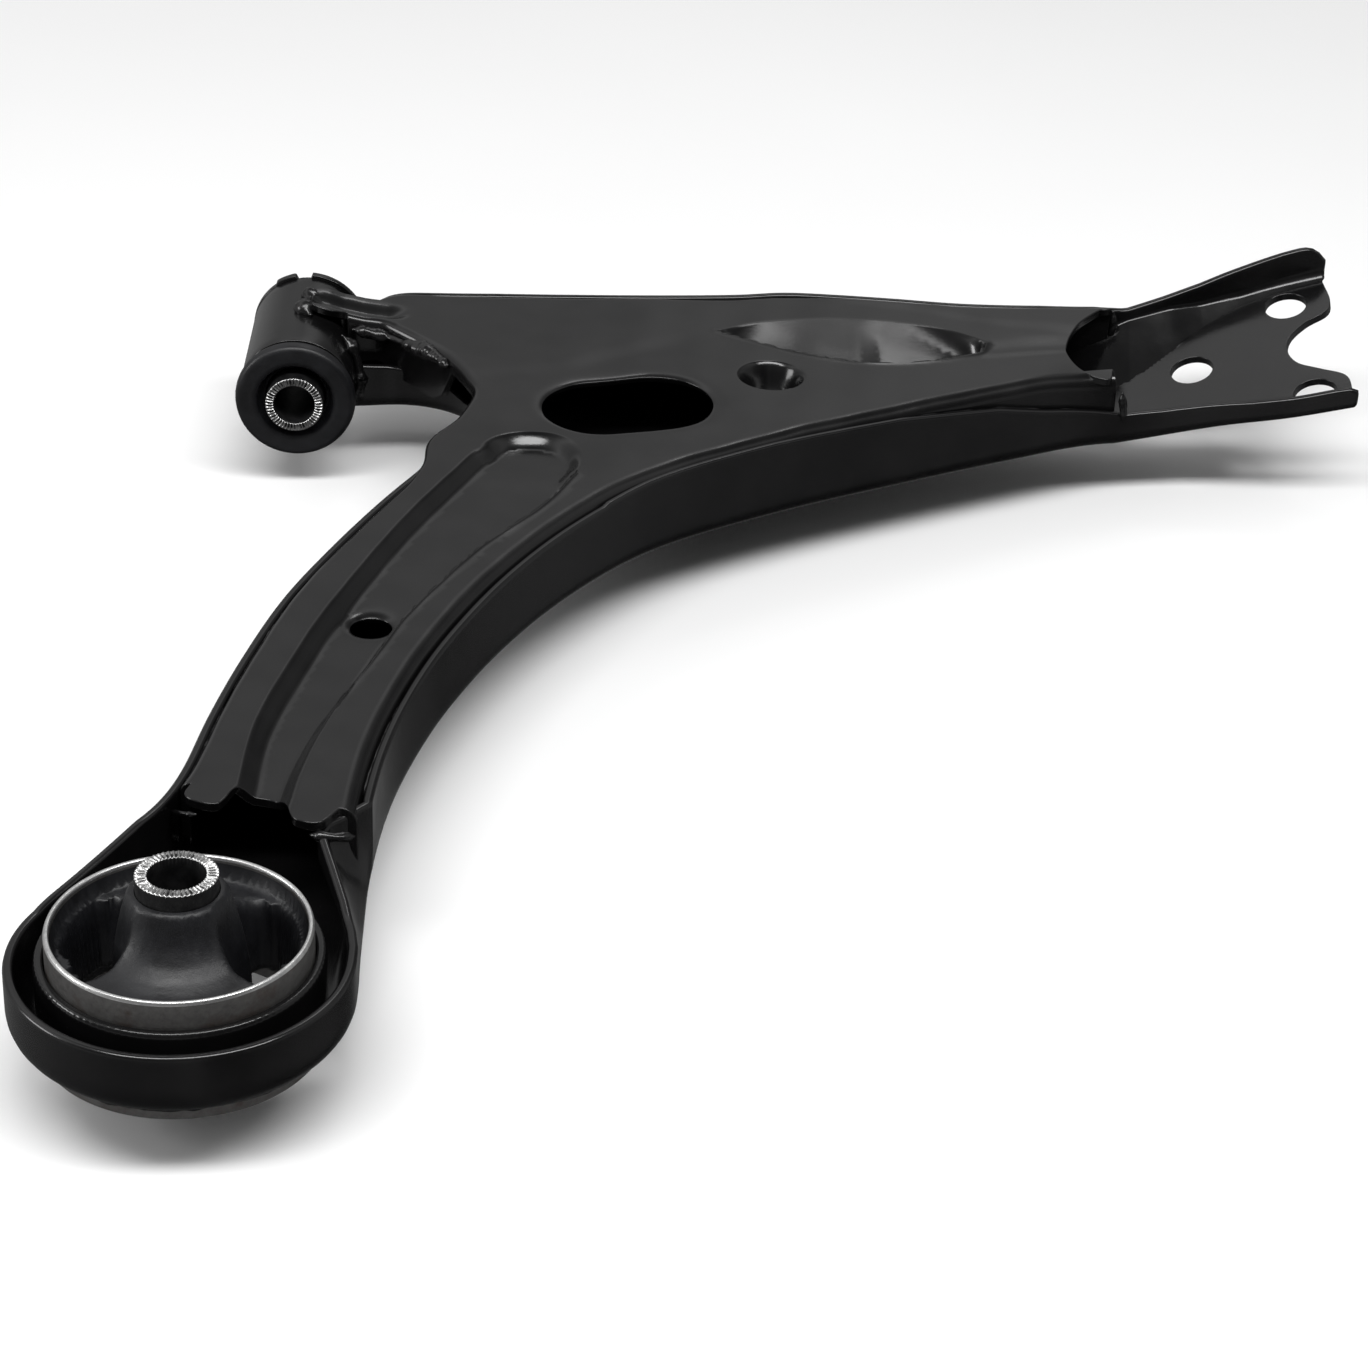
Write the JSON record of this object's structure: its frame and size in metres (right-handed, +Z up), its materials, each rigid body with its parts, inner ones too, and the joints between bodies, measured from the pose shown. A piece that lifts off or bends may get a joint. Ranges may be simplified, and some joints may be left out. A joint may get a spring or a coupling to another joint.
{
  "type": "suspension control arm",
  "caption": "L-shaped front lower suspension arm of two welded steel pressings, with an upright rear bush, a lying front bush and a tilted, notched ball-joint plate.",
  "frame": {"origin": "middle of the plan of the whole arm, at the height of the lowest point, the lower end of the rear bush's inner sleeve", "axes": "+X outboard towards the ball-joint plate, +Y towards the front of the car, +Z up; the front bush's axis is parallel to Y and the rear bush's to Z"},
  "size_m": [0.38, 0.437, 0.0599],
  "materials": {
    "coat": "glossy black electrodeposited coat on pressed steel",
    "weld": "rippled weld bead under the same black coat",
    "rubber": "satin black moulded natural rubber",
    "sleeve_steel": "bright steel with fine radial serrations on the clamped end faces",
    "can_steel": "dull phosphated steel with a bright machined rim"
  },
  "bodies": {
    "arm": {"lower_shell": "coat", "upper_cover": "coat", "front_bush_tube": "coat", "front_outer_can": "coat", "front_rubber": "rubber", "rear_bush_housing": "coat", "rear_outer_can": "can_steel", "rear_rubber": "rubber", "front_seam_weld": "weld", "back_seam_weld": "weld", "leg_seam_weld": "weld", "rear_housing_weld": "weld", "neck_top_weld": "weld", "neck_bottom_weld": "weld", "neck_near_weld": "weld", "neck_far_weld": "weld", "neck_skirt_weld": "weld", "cover_end_weld_left": "weld", "cover_end_weld_right": "weld", "plate_end_weld_front": "weld", "plate_end_weld_back": "weld"},
    "front_sleeve": {"front_inner_sleeve": "sleeve_steel"},
    "rear_sleeve": {"rear_inner_sleeve": "sleeve_steel"}
  },
  "joints": [
    {"name": "front_sleeve_twist", "type": "hinge", "parent": "arm", "child": "front_sleeve", "pos_m": [-0.148, 0.1725, 0.03], "axis": [0, 1, 0], "range_deg": [-15, 15], "stiffness_Nm_per_rad": 50, "deforming": ["front_rubber"]},
    {"name": "rear_sleeve_rock", "type": "hinge", "parent": "arm", "child": "rear_sleeve", "pos_m": [-0.148, -0.1765, 0.03], "axis": [0, 1, 0], "range_deg": [-15, 15], "stiffness_Nm_per_rad": 70, "deforming": ["rear_rubber"]}
  ],
  "couplings": [
    {"joint": "rear_sleeve_rock", "follows": "front_sleeve_twist", "ratio": 1}
  ]
}
